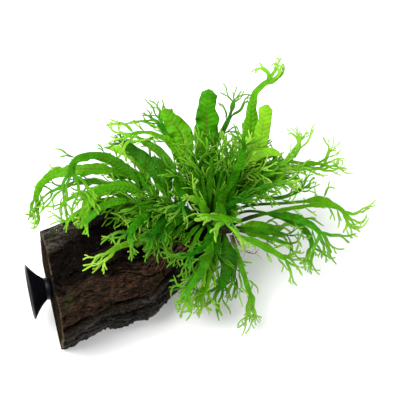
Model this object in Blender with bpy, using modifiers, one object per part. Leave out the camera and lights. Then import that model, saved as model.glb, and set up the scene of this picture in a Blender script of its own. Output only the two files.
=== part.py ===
"""A lace java fern grown on a sawn piece of driftwood, with a suction cup on the wood's cut end.

Metres, +Z up. The wood lies on its flat underside at Z = 0 with its cut end, and the cup, towards -X.
Creeping stems lie over the narrow end of the wood. Each frond rises from a stem on a thin stalk and
arches over. Its blade is plain, or it splits into fingers.
"""

import math
import random
from typing import NamedTuple

import bmesh
import bpy
from mathutils import Matrix, Vector

MM = 0.001
GAP = 0.4 * MM  # clearance between pieces that touch on the real plant

# Driftwood: the sections run from the cut face at WOOD_START to the broken end
WOOD_START = -57.5 * MM
CUT_LEAN = 0.15  # slope of the cut face, whose foot sticks out
CUT_LEAN_LENGTH = 40  # millimetres from the cut over which the lean dies away
WOOD_ANGLES = (*range(20, 200, 6), *range(200, 380, 20))  # corners of a section, closer on top
WOOD_SQUARENESS = 2.7  # 2 is an ellipse, more is boxier
# millimetres from the cut face, near side, far side, underside before it is flattened, top
WOOD_SECTIONS = (
    (0, -34, 38, -9, 61),
    (8, -33, 39, -10, 63),
    (17, -30, 41, -10, 64),
    (26, -28.5, 43, -10, 66),
    (35, -28, 45, -10, 65),
    (44, -29, 46, -9, 66),
    (53, -29, 46, -7, 64),
    (59, -28, 45, -6, 63),
    (66, -24, 43, -4, 62),
    (75, -18, 40, -2, 60),
    (84, -12, 35, 2, 58),
    (93, -10, 30, 6, 55),
    (102, -9, 24, 11, 51),
    (110, -3, 16, 20, 44),
)

# Suction cup: radius and distance from the wood, from the middle of the hollow round to the knob's foot
CUP_CENTRE = (2.0 * MM, 36.0 * MM)  # Y and Z of its axis on the cut face
CUP_STEPS = 24
CUP_PROFILE = (
    (0.0, 8.2),
    (5.0, 8.5),
    (10.0, 10.2),
    (14.0, 12.6),
    (16.1, 14.0),
    (17.5, 14.0),
    (17.4, 13.0),
    (13.0, 10.4),
    (9.6, 8.6),
    (7.6, 7.4),
    (6.6, 6.7),
    (7.1, 6.0),
    (7.1, 1.4),
    (6.6, 0.5),
    (0.0, 0.5),
)

# Creeping stems: radius, then points along their middle, in millimetres. The main one lies on the wood.
STEM_RINGS = 2
STEMS = {
    "main": (
        2.9,
        (
            (4, 32, 57.9),
            (14, 31, 56),
            (24, 28, 55),
            (33, 23, 54.2),
            (42, 18, 51.5),
            (50, 13, 47.5),
            (56, 10, 44.8),
            (63, 7, 43),
        ),
    ),
    "back": (2.5, ((34, 29, 54.8), (37, 33, 55.5), (40, 38, 57), (43, 43, 59))),
    "right": (2.5, ((52, 18.8, 48.5), (60, 21, 50), (68, 24, 53), (77, 28, 56))),
}
# Roots that hang from the free end of the main stem
ROOT_RADIUS = 0.7
ROOTS = {
    "root_1": ((63, 3.2, 42), (65, -2, 38), (68, -6, 34), (73, -7, 29), (76, -5, 24)),
    "root_2": ((60, 4.4, 42), (61, 0, 36), (63, -5, 30), (61, -10, 24), (63, -12, 18)),
}

FROND_THICKNESS = 0.8 * MM
STALK_HALF_WIDTH = 0.9 * MM
FINGER_HALF_WIDTH = 1.0 * MM
FINGERTIP_HALF_WIDTH = 0.45 * MM
MARGIN_WAVE = 0.12  # how unevenly the margins run, as a share of the half width
CAMBER = 0.16  # how far the margins hang below the midrib, as a share of the half width
SPINE_STEPS = 6  # short straight steps in each stretch of a spine


class Frond(NamedTuple):
    """One frond. Lengths are in millimetres and angles in degrees."""

    name: str
    stem: str
    station: float  # share of the stem's length at which it grows
    heading: float  # direction seen from above, from +X towards +Y
    rise: float  # above horizontal at the stalk's foot
    length: float  # from the foot to the tip, or to where the blade splits
    swing: float  # how much the heading turns by the end
    droop: float  # how much the rise falls by the end
    width: float
    fingers: int  # 0 for a plain blade
    fan: float  # between the outer fingers
    reach: float  # length of the fingers
    turn: float = 0  # how much the fingers bend sideways
    stalk: float = 0.2  # share of the length that is a bare stalk
    end: float = 0.7  # width where the blade splits, as a share of the full width
    neck: float = 0.5  # share of the blade at which it starts to narrow towards that width
    blunt: float = 0  # width at the end of a plain blade, as a share of the full width
    sway: float = 0  # how far an S-shaped spine swings to each side
    tone: str = "leaf"


FRONDS = (
    Frond("frond_back_01", "back", 0.98, 86, 43, 47, 15, 30, 14, 0, 0, 0, blunt=0.6, sway=-19),
    Frond("frond_back_02", "back", 0.53, 85, 29, 50, 15, 50, 6, 5, 75, 25, turn=15, end=0.9, sway=-14),
    Frond(
        "frond_back_03", "back", 0.97, 55, 61, 62, -2, 30, 15, 0, 0, 0,
        stalk=0.3, blunt=0.7, sway=-19,
    ),
    Frond("frond_back_04", "back", 0.66, 40, 25, 53, 10, 20, 4, 3, 25, 29, turn=10, tone="dark"),
    Frond(
        "frond_back_05", "back", 0.37, 51, 45, 60, 131, 45, 6, 4, 100, 22,
        stalk=0.3, end=0.3, neck=0.4, sway=3,
    ),
    Frond("frond_back_06", "back", 0.87, 19, 50, 43, 50, 50, 5, 0, 0, 0, sway=-12, tone="young"),
    Frond("frond_back_07", "back", 0.17, 75, 15, 51, 65, 30, 6, 2, 40, 9),
    Frond(
        "frond_right_01", "right", 0.44, 105, 45, 84, -106, 20, 11, 4, 60, 22,
        turn=150, stalk=0.3, end=0.2, neck=0.35, sway=-47,
    ),
    Frond(
        "frond_right_02", "right", 0.49, 33, 47, 69, 27, 10, 10, 0, 0, 0,
        stalk=0.4, blunt=0.8, sway=-10, tone="young",
    ),
    Frond(
        "frond_right_03", "right", 0.30, 99, 80, 64, -148, 90, 8, 0, 0, 0,
        stalk=0.5, sway=-14, tone="young",
    ),
    Frond(
        "frond_right_04", "right", 0.56, 1, 30, 48, 30, 0, 3.5, 3, 30, 24,
        turn=40, stalk=0.4, end=0.8, sway=10,
    ),
    Frond(
        "frond_right_05", "right", 0.59, 19, 5, 69, -17, 10, 3, 2, 40, 24,
        turn=60, stalk=0.4, sway=31,
    ),
    Frond(
        "frond_right_06", "right", 0.84, 21, 0, 58, -29, 10, 3.5, 4, 60, 24,
        turn=15, stalk=0.4, sway=16,
    ),
    Frond("frond_right_07", "right", 0.97, -66, 34, 40, 90, 30, 3, 4, 70, 12, turn=30, tone="dark"),
    Frond("frond_right_08", "right", 0.56, 0, 65, 40, 15, 45, 6, 4, 90, 14),
    Frond(
        "frond_right_09", "main", 0.86, 37, 19, 87, -91, 50, 7, 4, 60, 26,
        turn=80, stalk=0.66, end=0.35, neck=0.4, sway=-22,
    ),
    Frond("frond_right_10", "main", 0.98, 5, 5, 57, -5, 30, 3, 2, 50, 14, turn=20, stalk=0.5),
    Frond(
        "frond_right_11", "main", 0.98, 14, 36, 61, -80, 39, 6, 4, 80, 21,
        turn=20, stalk=0.4, end=0.5, sway=-5,
    ),
    Frond("frond_right_12", "main", 1.00, -19, 10, 27, 10, 45, 10, 3, 50, 20, stalk=0.1),
    Frond("frond_right_13", "main", 0.99, -53, 15, 38, 24, 40, 5, 4, 120, 18, turn=10, sway=10),
    Frond(
        "frond_right_14", "main", 0.93, 43, 30, 67, -149, 65, 4, 4, 80, 20,
        stalk=0.4, sway=-24, tone="dark",
    ),
    Frond("frond_right_15", "right", 0.06, 30, 65, 46, 35, 10, 6, 4, 70, 16),
    Frond("frond_right_16", "right", 0.42, 10, 70, 35, -50, 35, 6, 4, 90, 16, tone="dark"),
    Frond("frond_right_17", "main", 0.73, 15, 60, 32, -35, 20, 6, 4, 80, 15, tone="dark"),
    Frond("frond_right_18", "right", 0.45, -8, 45, 39, 13, 20, 5, 4, 80, 16),
    Frond("frond_right_19", "right", 0.22, 5, 80, 61, 55, 25, 5, 3, 60, 16, stalk=0.4),
    Frond("frond_left_01", "main", 0.36, 99, 35, 53, 33, 40, 8, 3, 70, 8, tone="dark"),
    Frond("frond_left_02", "main", 0.27, 112, 25, 43, 57, 40, 7, 0, 0, 0, sway=-12, tone="dark"),
    Frond("frond_left_03", "main", 0.16, 70, 5, 60, 85, 30, 6, 0, 0, 0, tone="young"),
    Frond("frond_left_04", "main", 0.12, 76, 38, 93, 174, 85, 8, 3, 40, 24, turn=-15, end=0.5, sway=27),
    Frond("frond_left_05", "main", 0.02, 26, 45, 70, 240, 40, 6, 4, 40, 36, sway=25, tone="dark"),
    Frond("frond_left_06", "main", 0.00, 132, 40, 44, 107, 50, 8, 3, 30, 8, sway=-15),
    Frond("frond_left_07", "main", 0.19, 100, 35, 40, 43, 55, 6, 2, 60, 10),
    Frond("frond_left_08", "main", 0.36, -5, 60, 30, 140, 15, 8, 0, 0, 0, tone="dark"),
    Frond("frond_left_09", "main", 0.07, 170, 61, 44, 41, 70, 5, 3, 40, 8, sway=-8, tone="dark"),
    Frond("frond_left_10", "main", 0.27, 35, 50, 35, 100, 60, 8, 0, 0, 0, tone="dark"),
    Frond("frond_left_11", "main", 0.21, 55, 5, 43, 100, 35, 5, 0, 0, 0, tone="young"),
    Frond("frond_left_12", "main", 0.18, 136, 60, 48, 62, 55, 6, 3, 40, 12, sway=-7, tone="dark"),
    Frond(
        "frond_front_01", "main", 0.35, -166, 11, 48, 25, -15, 5, 4, 30, 20,
        turn=15, end=0.9, sway=25, tone="young",
    ),
    Frond("frond_front_02", "main", 0.10, -101, 70, 36, -34, 65, 6, 4, 110, 16, sway=15),
    Frond("frond_front_03", "main", 0.38, -111, 65, 34, -40, 60, 5, 4, 70, 16, sway=-8, tone="dark"),
    Frond("frond_front_04", "main", 0.53, -150, 60, 31, 10, 55, 5, 3, 60, 18, tone="dark"),
    Frond("frond_front_05", "main", 0.96, -105, 90, 62, -35, 35, 12, 4, 120, 22, end=0.9, tone="young"),
    Frond("frond_front_06", "main", 0.71, 115, 90, 27, 25, 35, 6, 3, 40, 13, tone="young"),
    Frond("frond_front_07", "main", 0.87, 20, 50, 20, 30, -20, 10, 0, 0, 0, tone="dark"),
    Frond("frond_front_08", "main", 0.73, -70, 50, 27, 230, -20, 8, 0, 0, 0, tone="dark"),
    Frond("frond_front_09", "main", 0.31, 75, 80, 33, -210, 70, 5, 3, 70, 14),
    Frond(
        "frond_low_01", "main", 0.86, -70, 20, 40, -72, 55, 13, 3, 50, 20,
        end=0.5, neck=0.3, sway=-6, tone="dark",
    ),
    Frond("frond_low_02", "main", 0.99, -88, 5, 40, 1, 45, 4, 4, 24, 28, sway=-3),
    Frond("frond_low_03", "main", 0.92, -118, 20, 43, -19, 60, 6, 4, 50, 18, sway=-14),
    Frond("frond_low_04", "main", 0.68, -75, 50, 43, -84, 35, 4, 4, 60, 16, sway=9, tone="dark"),
    Frond("frond_low_05", "main", 0.92, -75, -20, 31, -38, 10, 5, 3, 60, 18, tone="dark"),
    Frond("frond_low_06", "main", 0.76, -95, 35, 48, -55, 60, 6, 4, 80, 18),
)
LEAF_COLOURS = {"dark": (0.03, 0.16, 0.02), "leaf": (0.08, 0.30, 0.02), "young": (0.20, 0.48, 0.03)}


def smooth_step(value):
    value = min(max(value, 0.0), 1.0)
    return value * value * (3 - 2 * value)


def mix(a, b, share):
    return a + (b - a) * share


# ---------------------------------------------------------------- scene and materials


def clear_scene():
    for obj in list(bpy.data.objects):
        bpy.data.objects.remove(obj)


def make_collection(name):
    collection = bpy.data.collections.new(name)
    bpy.context.scene.collection.children.link(collection)
    return collection


def make_material(name, colour, roughness):
    material = bpy.data.materials.new(name)
    material.use_nodes = True
    shader = material.node_tree.nodes["Principled BSDF"]
    shader.inputs["Base Color"].default_value = (*colour, 1.0)
    shader.inputs["Roughness"].default_value = roughness
    return material


def object_from_bmesh(name, bm, material, collection):
    mesh = bpy.data.meshes.new(name)
    bm.to_mesh(mesh)
    bm.free()
    mesh.shade_smooth()
    obj = bpy.data.objects.new(name, mesh)
    obj.data.materials.append(material)
    collection.objects.link(obj)
    return obj


def extend(bm, row, closed=False):
    """Extrudes a row of vertices and returns the new row in the same order."""
    pairs = list(zip(row, row[1:]))
    if closed:
        pairs.append((row[-1], row[0]))
    edges = [bm.edges.get(pair) for pair in pairs]
    made = bmesh.ops.extrude_edge_only(bm, edges=edges)["geom"]
    fresh = {item for item in made if isinstance(item, bmesh.types.BMVert)}
    new_row = []
    for vert in row:
        ends = [edge.other_vert(vert) for edge in vert.link_edges]
        new_row.append(next(end for end in ends if end in fresh))
    return new_row


# ---------------------------------------------------------------- driftwood


def wood_relief(along, angle):
    """How proud the wood stands in millimetres, by distance from the cut and angle about its length."""
    shelf = 70 - 0.39 * along  # edge of the smooth far shoulder
    hollow_end = 104 - 0.10 * along
    crack = 156 - 0.15 * along  # between the ridge and the near slab
    seam = 178 - 0.10 * along
    relief = 1.2 * (1 - smooth_step((angle - shelf) / 5))
    hollow = 4.6 - 0.6 * smooth_step((along - 45) / 15)  # shallower where the stem lies in it
    relief -= hollow * smooth_step((angle - shelf) / 7) * (1 - smooth_step((angle - hollow_end) / 16))
    relief += 2.0 * math.exp(-(((angle - 128 + 0.1 * along) / 13) ** 2))
    relief -= 4.5 * math.exp(-(((angle - crack) / 6) ** 2))
    relief -= 2.0 * math.exp(-(((angle - seam) / 6) ** 2))
    relief += 1.1 * math.sin(math.radians(7 * angle + 4 * along))
    return relief * (1 - 0.5 * smooth_step((along - 101) / 9))  # weaker on the small broken end


def wood_point(section, angle):
    """A point on the wood's side. Angle 0 faces +Y, 90 up and 180 the near side."""
    along, near, far, low, top = section
    radians = math.radians(angle)
    power = 2 / WOOD_SQUARENESS
    across = math.copysign(abs(math.cos(radians)) ** power, math.cos(radians))
    upward = math.copysign(abs(math.sin(radians)) ** power, math.sin(radians))
    relief = wood_relief(along, angle % 360) * (0.35 if 205 < angle < 360 else 1.0)
    y = (near + far) / 2 + ((far - near) / 2 + relief) * across
    z = (low + top) / 2 + ((top - low) / 2 + relief) * upward
    z = max(z, 0.0)
    lean = CUT_LEAN * (z - CUP_CENTRE[1] / MM) * max(0, 1 - along / CUT_LEAN_LENGTH)
    return Vector((WOOD_START / MM + along + lean, y, z)) * MM


def build_driftwood(material, collection):
    bm = bmesh.new()
    row = bmesh.ops.create_circle(bm, cap_ends=True, segments=len(WOOD_ANGLES), radius=MM)["verts"]
    for number, section in enumerate(WOOD_SECTIONS):
        if number:
            row = extend(bm, row, closed=True)
        for angle, vert in zip(WOOD_ANGLES, row):
            vert.co = wood_point(section, angle)
    bmesh.ops.holes_fill(bm, edges=[edge for edge in bm.edges if edge.is_boundary])
    bmesh.ops.recalc_face_normals(bm, faces=bm.faces)
    wood = object_from_bmesh("driftwood", bm, material, collection)
    wood.data.set_sharp_from_angle(angle=math.radians(35))


# ---------------------------------------------------------------- suction cup


def build_suction_cup(material, collection):
    bm = bmesh.new()
    verts = [bm.verts.new((radius * MM, 0, height * MM)) for radius, height in CUP_PROFILE]
    for pair in zip(verts, verts[1:]):
        bm.edges.new(pair)
    cup = object_from_bmesh("suction_cup", bm, material, collection)
    turn = cup.modifiers.new("Turn", "SCREW")
    turn.axis = "Z"
    turn.steps = turn.render_steps = CUP_STEPS
    turn.use_merge_vertices = True
    turn.merge_threshold = 0.01 * MM
    turn.use_smooth_shade = True
    y, z = CUP_CENTRE
    cup.location = (WOOD_START, y, z)
    cup.rotation_euler = (0, math.atan(CUT_LEAN) - math.radians(90), 0)


# ---------------------------------------------------------------- stems and roots


def build_tube(name, points, radius, material, collection):
    """A tube with closed ends along points in millimetres."""
    curve = bpy.data.curves.new(name, "CURVE")
    curve.dimensions = "3D"
    curve.bevel_depth = radius * MM
    curve.bevel_resolution = STEM_RINGS
    curve.use_fill_caps = True
    spline = curve.splines.new("POLY")
    spline.points.add(len(points) - 1)
    for spline_point, point in zip(spline.points, points):
        spline_point.co = (*(Vector(point) * MM), 1.0)
    tube = bpy.data.objects.new(name, curve)
    tube.data.materials.append(material)
    collection.objects.link(tube)


def point_on_stem(stem, station):
    """The point at a share of the stem's length, and the stem's direction there, in millimetres."""
    points = [Vector(point) for point in STEMS[stem][1]]
    lengths = [(b - a).length for a, b in zip(points, points[1:])]
    left = station * sum(lengths)
    for start, end, length in zip(points, points[1:], lengths):
        if left <= length:
            break
        left -= length
    direction = (end - start).normalized()
    return start + direction * min(left, length), direction


# ---------------------------------------------------------------- fronds


def spine_direction(frond, share):
    """(along, side, up) of the frond at a share of its length."""
    sway = frond.sway * math.sin(2 * math.pi * share)
    heading = math.radians(frond.heading + frond.swing * share + sway)
    rise = math.radians(frond.rise - frond.droop * share)
    side = Vector((-math.sin(heading), math.cos(heading), 0))
    level = Vector((math.cos(heading), math.sin(heading), 0))
    along = level * math.cos(rise) + Vector((0, 0, math.sin(rise)))
    return along, side, along.cross(side)


def foot_of(frond):
    """Where the stalk starts: just clear of the stem's skin, on the side it grows towards."""
    centre, direction = point_on_stem(frond.stem, frond.station)
    along, _, _ = spine_direction(frond, 0)
    outward = (along - direction * along.dot(direction)).normalized()
    return (centre + outward * STEMS[frond.stem][0]) * MM + outward * (GAP + FROND_THICKNESS / 2)


def blade_half_width(frond, share):
    """Half the blade's width: a stalk, then a blade that ends in a point or splits while still wide."""
    if share <= frond.stalk:
        return STALK_HALF_WIDTH
    share = (share - frond.stalk) / (1 - frond.stalk)
    if frond.fingers:
        narrowing = smooth_step((share - frond.neck) / 0.5)
        shape = min(1, 2.2 * math.sin(math.pi * share / 2)) * mix(1, frond.end, narrowing)
    else:
        shape = math.sin(math.pi * share**0.85) ** 0.75
        if share > 0.5:
            shape = max(shape, frond.blunt)
    return mix(STALK_HALF_WIDTH, frond.width * MM / 2, shape)


def grow_blade(bm, frond, rng):
    """Extrudes the stalk and blade along the spine, and returns the last row and the frame there."""
    columns = max(frond.fingers, 2)
    stretches = min(max(round(frond.length / 13), 4), 7)
    step = frond.length * MM / stretches / SPINE_STEPS
    place = foot_of(frond)
    row = [bm.verts.new(place) for _ in range(columns + 1)]
    for pair in zip(row, row[1:]):
        bm.edges.new(pair)
    for stretch in range(stretches + 1):
        share = stretch / stretches
        if stretch:
            row = extend(bm, row)
            for number in range(SPINE_STEPS):
                middle = share - (SPINE_STEPS - number - 0.5) / SPINE_STEPS / stretches
                place = place + spine_direction(frond, middle)[0] * step
        frame = spine_direction(frond, share)
        half_width = blade_half_width(frond, share)
        if 0 < stretch < stretches:
            half_width *= 1 + rng.uniform(-MARGIN_WAVE, MARGIN_WAVE)
        for number, vert in enumerate(row):
            across = 2 * number / columns - 1
            vert.co = place + frame[1] * half_width * across - frame[2] * half_width * CAMBER * across**2
    return row, frame


def grow_finger(bm, row, frame, frond, slant, rng):
    """Extrudes one finger from an edge of the blade's end, bending as it goes."""
    along, side, up = frame
    stretches = 3 if frond.reach > 15 else 2
    place = (row[0].co + row[1].co) / 2
    length = frond.reach * MM * rng.uniform(0.85, 1.15)
    curl = -rng.uniform(5, 40)
    bend = frond.turn + rng.uniform(-25, 25)
    along, side, up = turned(along, side, up, slant, 0)
    for stretch in range(stretches):
        along, side, up = turned(along, side, up, bend / stretches, curl / stretches)
        place = place + along * length / stretches
        half_width = mix(FINGER_HALF_WIDTH, FINGERTIP_HALF_WIDTH, stretch / (stretches - 1))
        row = extend(bm, row)
        row[0].co = place - side * half_width
        row[1].co = place + side * half_width


def turned(along, side, up, sideways, upwards):
    """The frame after a turn about its up axis and then a pitch about its side axis, in degrees."""
    yaw = Matrix.Rotation(math.radians(sideways), 3, up)
    along, side = yaw @ along, yaw @ side
    pitch = Matrix.Rotation(math.radians(-upwards), 3, side)
    return pitch @ along, side, pitch @ up


def build_frond(frond, material, collection):
    rng = random.Random(frond.name)
    bm = bmesh.new()
    row, frame = grow_blade(bm, frond, rng)
    for finger in range(frond.fingers):
        slant = frond.fan * (finger / (frond.fingers - 1) - 0.5)
        grow_finger(bm, row[finger : finger + 2], frame, frond, slant, rng)
    leaf = object_from_bmesh(frond.name, bm, material, collection)
    thickness = leaf.modifiers.new("Thickness", "SOLIDIFY")
    thickness.thickness = FROND_THICKNESS
    thickness.offset = 0


def main():
    clear_scene()
    collection = make_collection("Java fern on driftwood")
    wood = make_material("Wet driftwood", (0.035, 0.022, 0.017), 0.55)
    rubber = make_material("Black rubber", (0.012, 0.012, 0.016), 0.45)
    stem = make_material("Stem", (0.10, 0.09, 0.03), 0.6)
    root = make_material("Root", (0.22, 0.08, 0.03), 0.7)
    leaves = {tone: make_material(f"Leaf {tone}", colour, 0.4) for tone, colour in LEAF_COLOURS.items()}
    build_driftwood(wood, collection)
    build_suction_cup(rubber, collection)
    for name, (radius, points) in STEMS.items():
        build_tube(f"stem_{name}", points, radius, stem, collection)
    for name, points in ROOTS.items():
        build_tube(name, points, ROOT_RADIUS, root, collection)
    for frond in FRONDS:
        build_frond(frond, leaves[frond.tone], collection)


main()
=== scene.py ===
"""Looks of the java fern on driftwood: finely forked fronds, stems, roots, wet wood and a cup.

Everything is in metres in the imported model's frame, with the wood along X on the floor at Z = 0.
Each frond follows the spine of the solid that it replaces. Its blade starts as many strips wide,
gives some of them away to side fingers, and splits into end fingers that fork until one strip is
left.
"""

import random
from math import atan, copysign, cos, exp, floor, pi, radians, sin, sqrt
from typing import NamedTuple

import bpy
from mathutils import Matrix, Vector, noise


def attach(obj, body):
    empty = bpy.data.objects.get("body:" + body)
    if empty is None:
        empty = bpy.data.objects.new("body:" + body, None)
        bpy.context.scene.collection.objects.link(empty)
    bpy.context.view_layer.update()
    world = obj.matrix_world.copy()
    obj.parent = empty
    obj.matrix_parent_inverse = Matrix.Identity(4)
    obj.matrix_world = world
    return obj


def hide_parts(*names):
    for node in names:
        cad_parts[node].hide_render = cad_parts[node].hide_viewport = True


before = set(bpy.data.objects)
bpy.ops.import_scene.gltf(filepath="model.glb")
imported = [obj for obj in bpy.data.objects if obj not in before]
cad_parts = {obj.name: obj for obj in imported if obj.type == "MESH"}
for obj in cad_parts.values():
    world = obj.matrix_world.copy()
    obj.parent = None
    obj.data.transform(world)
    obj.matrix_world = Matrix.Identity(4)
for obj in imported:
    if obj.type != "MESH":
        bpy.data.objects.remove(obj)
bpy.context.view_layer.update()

MM = 0.001

# ---- the plant's measures, as the solids have them

# Each stem's radius and the points that it runs through, in millimetres
STEMS = {
    "main": (2.9, (
        (4, 32, 57.9), (14, 31, 56), (24, 28, 55), (33, 23, 54.2),
        (42, 18, 51.5), (50, 13, 47.5), (56, 10, 44.8), (63, 7, 43),
    )),
    "back": (2.5, ((34, 29, 54.8), (37, 33, 55.5), (40, 38, 57), (43, 43, 59))),
    "right": (2.5, ((52, 18.8, 48.5), (60, 21, 50), (68, 24, 53), (77, 28, 56))),
}
ROOTS = {
    "root_1": ((63, 3.2, 42), (65, -2, 38), (68, -6, 34), (73, -7, 29), (76, -5, 24)),
    "root_2": ((60, 4.4, 42), (61, 0, 36), (63, -5, 30), (61, -10, 24), (63, -12, 18)),
}


class Frond(NamedTuple):
    """One frond. Lengths are in millimetres and angles in degrees."""

    stem: str
    station: float  # share of the stem's length at which it grows
    heading: float  # seen from above, from +X towards +Y
    rise: float  # above horizontal at the stalk's foot
    length: float  # from the foot to the tip, or to where the blade splits
    swing: float  # how much the heading turns by the end
    droop: float  # how much the rise falls by the end
    width: float
    fingers: int = 0  # that the blade splits into
    fan: float = 0  # between the outer fingers
    reach: float = 0  # length of the fingers
    turn: float = 0  # how much the fingers bend sideways
    stalk: float = 0.2  # share of the length that is a bare stalk
    end: float = 0.7  # width where the blade splits, as a share of the full width
    neck: float = 0.5  # share of the blade at which it starts to narrow to that width
    blunt: float = 0  # width at a plain blade's end, as a share of the full width
    sway: float = 0  # how far an S-shaped spine swings to each side
    tone: str = "leaf"
    trim: float = 1  # share of the reach that is kept, so that the forks stay in the solids' box
    breadth: float = 0  # of the fingers, where it isn't left to the blade's width
    shade: float = None  # from DARKEST to LIGHTEST, where it isn't left to chance
    name: str = ""


# The fronds of each side of the plant, in the order of their numbers
BACK = (
    Frond("back", 0.98, 86, 43, 47, 15, 30, 14, blunt=0.6, sway=-19),
    Frond("back", 0.53, 85, 29, 50, 15, 50, 6, 5, 75, 25, turn=15, end=0.9, sway=-14, trim=0.92),
    Frond("back", 0.97, 55, 61, 62, -2, 30, 15, stalk=0.3, blunt=0.7, sway=-19),
    Frond("back", 0.66, 40, 25, 53, 10, 20, 4, 3, 25, 29, turn=10, tone="dark"),
    Frond("back", 0.37, 51, 45, 60, 131, 45, 6, 4, 100, 22, stalk=0.3, end=0.3, neck=0.4, sway=3),
    Frond("back", 0.87, 19, 50, 43, 50, 50, 5, sway=-12, tone="young"),
    Frond("back", 0.17, 75, 15, 51, 65, 30, 6, 2, 40, 9),
)
RIGHT = (
    Frond("right", 0.44, 105, 45, 84, -106, 20, 11, 4, 60, 22, turn=150, stalk=0.3, end=0.2,
        neck=0.35, sway=-47),
    Frond("right", 0.49, 33, 47, 69, 27, 10, 10, stalk=0.4, blunt=0.8, sway=-10, tone="young"),
    Frond("right", 0.30, 99, 80, 64, -148, 90, 8, stalk=0.5, sway=-14, tone="young"),
    Frond("right", 0.56, 1, 30, 48, 30, 0, 3.5, 3, 30, 24, turn=40, stalk=0.4, end=0.8, sway=10),
    Frond("right", 0.59, 19, 5, 69, -17, 10, 3, 2, 40, 24, turn=60, stalk=0.4, sway=31),
    Frond("right", 0.84, 21, 0, 58, -29, 10, 3.5, 4, 60, 24, turn=15, stalk=0.4, sway=16),
    Frond("right", 0.97, -66, 34, 40, 90, 30, 3, 4, 70, 12, turn=30, tone="dark"),
    Frond("right", 0.56, 0, 65, 40, 15, 45, 6, 4, 90, 14),
    Frond("main", 0.86, 37, 19, 87, -91, 50, 7, 4, 60, 26, turn=80, stalk=0.66, end=0.35, neck=0.4,
        sway=-22, trim=0.93),
    Frond("main", 0.98, 5, 5, 57, -5, 30, 3, 2, 50, 14, turn=20, stalk=0.5),
    Frond("main", 0.98, 14, 36, 61, -80, 39, 6, 4, 80, 21, turn=20, stalk=0.4, end=0.5, sway=-5),
    Frond("main", 1.00, -19, 10, 27, 10, 45, 10, 3, 50, 20, stalk=0.1),
    Frond("main", 0.99, -53, 15, 38, 24, 40, 5, 4, 120, 18, turn=10, sway=10),
    Frond("main", 0.93, 43, 30, 67, -149, 65, 4, 4, 80, 20, stalk=0.4, sway=-24, tone="dark"),
    Frond("right", 0.06, 30, 65, 46, 35, 10, 6, 4, 70, 16),
    Frond("right", 0.42, 10, 70, 35, -50, 35, 6, 4, 90, 16, tone="dark"),
    Frond("main", 0.73, 15, 60, 32, -35, 20, 6, 4, 80, 15, tone="dark"),
    Frond("right", 0.45, -8, 45, 39, 13, 20, 5, 4, 80, 16),
    Frond("right", 0.22, 5, 80, 61, 55, 25, 5, 3, 60, 16, stalk=0.4),
)
LEFT = (
    Frond("main", 0.36, 99, 35, 53, 33, 40, 8, 3, 70, 8, tone="dark"),
    Frond("main", 0.27, 112, 25, 43, 57, 40, 7, sway=-12, tone="dark"),
    Frond("main", 0.16, 70, 5, 60, 85, 30, 6, tone="young"),
    Frond("main", 0.12, 76, 38, 93, 174, 85, 8, 3, 40, 24, turn=-15, end=0.5, sway=27),
    Frond("main", 0.02, 26, 45, 70, 240, 40, 6, 4, 40, 36, sway=25, tone="dark"),
    Frond("main", 0.00, 132, 40, 44, 107, 50, 8, 3, 30, 8, sway=-15),
    Frond("main", 0.19, 100, 35, 40, 43, 55, 6, 2, 60, 10),
    Frond("main", 0.36, -5, 60, 30, 140, 15, 8, tone="dark"),
    Frond("main", 0.07, 170, 61, 44, 41, 70, 5, 3, 40, 8, sway=-8, tone="dark"),
    Frond("main", 0.27, 35, 50, 35, 100, 60, 8, tone="dark"),
    Frond("main", 0.21, 55, 5, 43, 100, 35, 5, tone="young"),
    Frond("main", 0.18, 136, 60, 48, 62, 55, 6, 3, 40, 12, sway=-7, tone="dark"),
)
FRONT = (
    Frond("main", 0.35, -166, 11, 48, 25, -15, 5, 4, 30, 20, turn=15, end=0.9, sway=25,
        tone="young"),
    Frond("main", 0.10, -101, 70, 36, -34, 65, 6, 4, 110, 16, sway=15),
    Frond("main", 0.38, -111, 65, 34, -40, 60, 5, 4, 70, 16, sway=-8, tone="dark"),
    Frond("main", 0.53, -150, 60, 31, 10, 55, 5, 3, 60, 18, tone="dark"),
    Frond("main", 0.96, -105, 90, 62, -35, 35, 12, 4, 120, 22, end=0.9, tone="young", breadth=1.7),
    Frond("main", 0.71, 115, 90, 27, 25, 35, 6, 3, 40, 13, tone="young"),
    Frond("main", 0.87, 20, 50, 20, 30, -20, 10, tone="dark"),
    Frond("main", 0.73, -70, 50, 27, 230, -20, 8, tone="dark"),
    Frond("main", 0.31, 75, 80, 33, -210, 70, 5, 3, 70, 14),
)
LOW = (
    Frond("main", 0.86, -70, 20, 40, -72, 55, 13, 3, 50, 20, end=0.5, neck=0.3, sway=-6,
        tone="dark"),
    Frond("main", 0.99, -88, 5, 40, 1, 45, 4, 4, 24, 28, sway=-3, trim=0.96),
    Frond("main", 0.92, -118, 20, 43, -19, 60, 6, 4, 50, 18, sway=-14),
    Frond("main", 0.68, -75, 50, 43, -84, 35, 4, 4, 60, 16, sway=9, tone="dark"),
    Frond("main", 0.92, -75, -20, 31, -38, 10, 5, 3, 60, 18, tone="dark"),
    Frond("main", 0.76, -95, 35, 48, -55, 60, 6, 4, 80, 18),
)
SIDES = {"back": BACK, "right": RIGHT, "left": LEFT, "front": FRONT, "low": LOW}

DARKEST, LIGHTEST = -0.5, 1.0
SHADE_RANGES = {"dark": (0.0, 0.5), "leaf": (0.1, 0.9), "young": (0.2, 0.9)}
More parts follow.
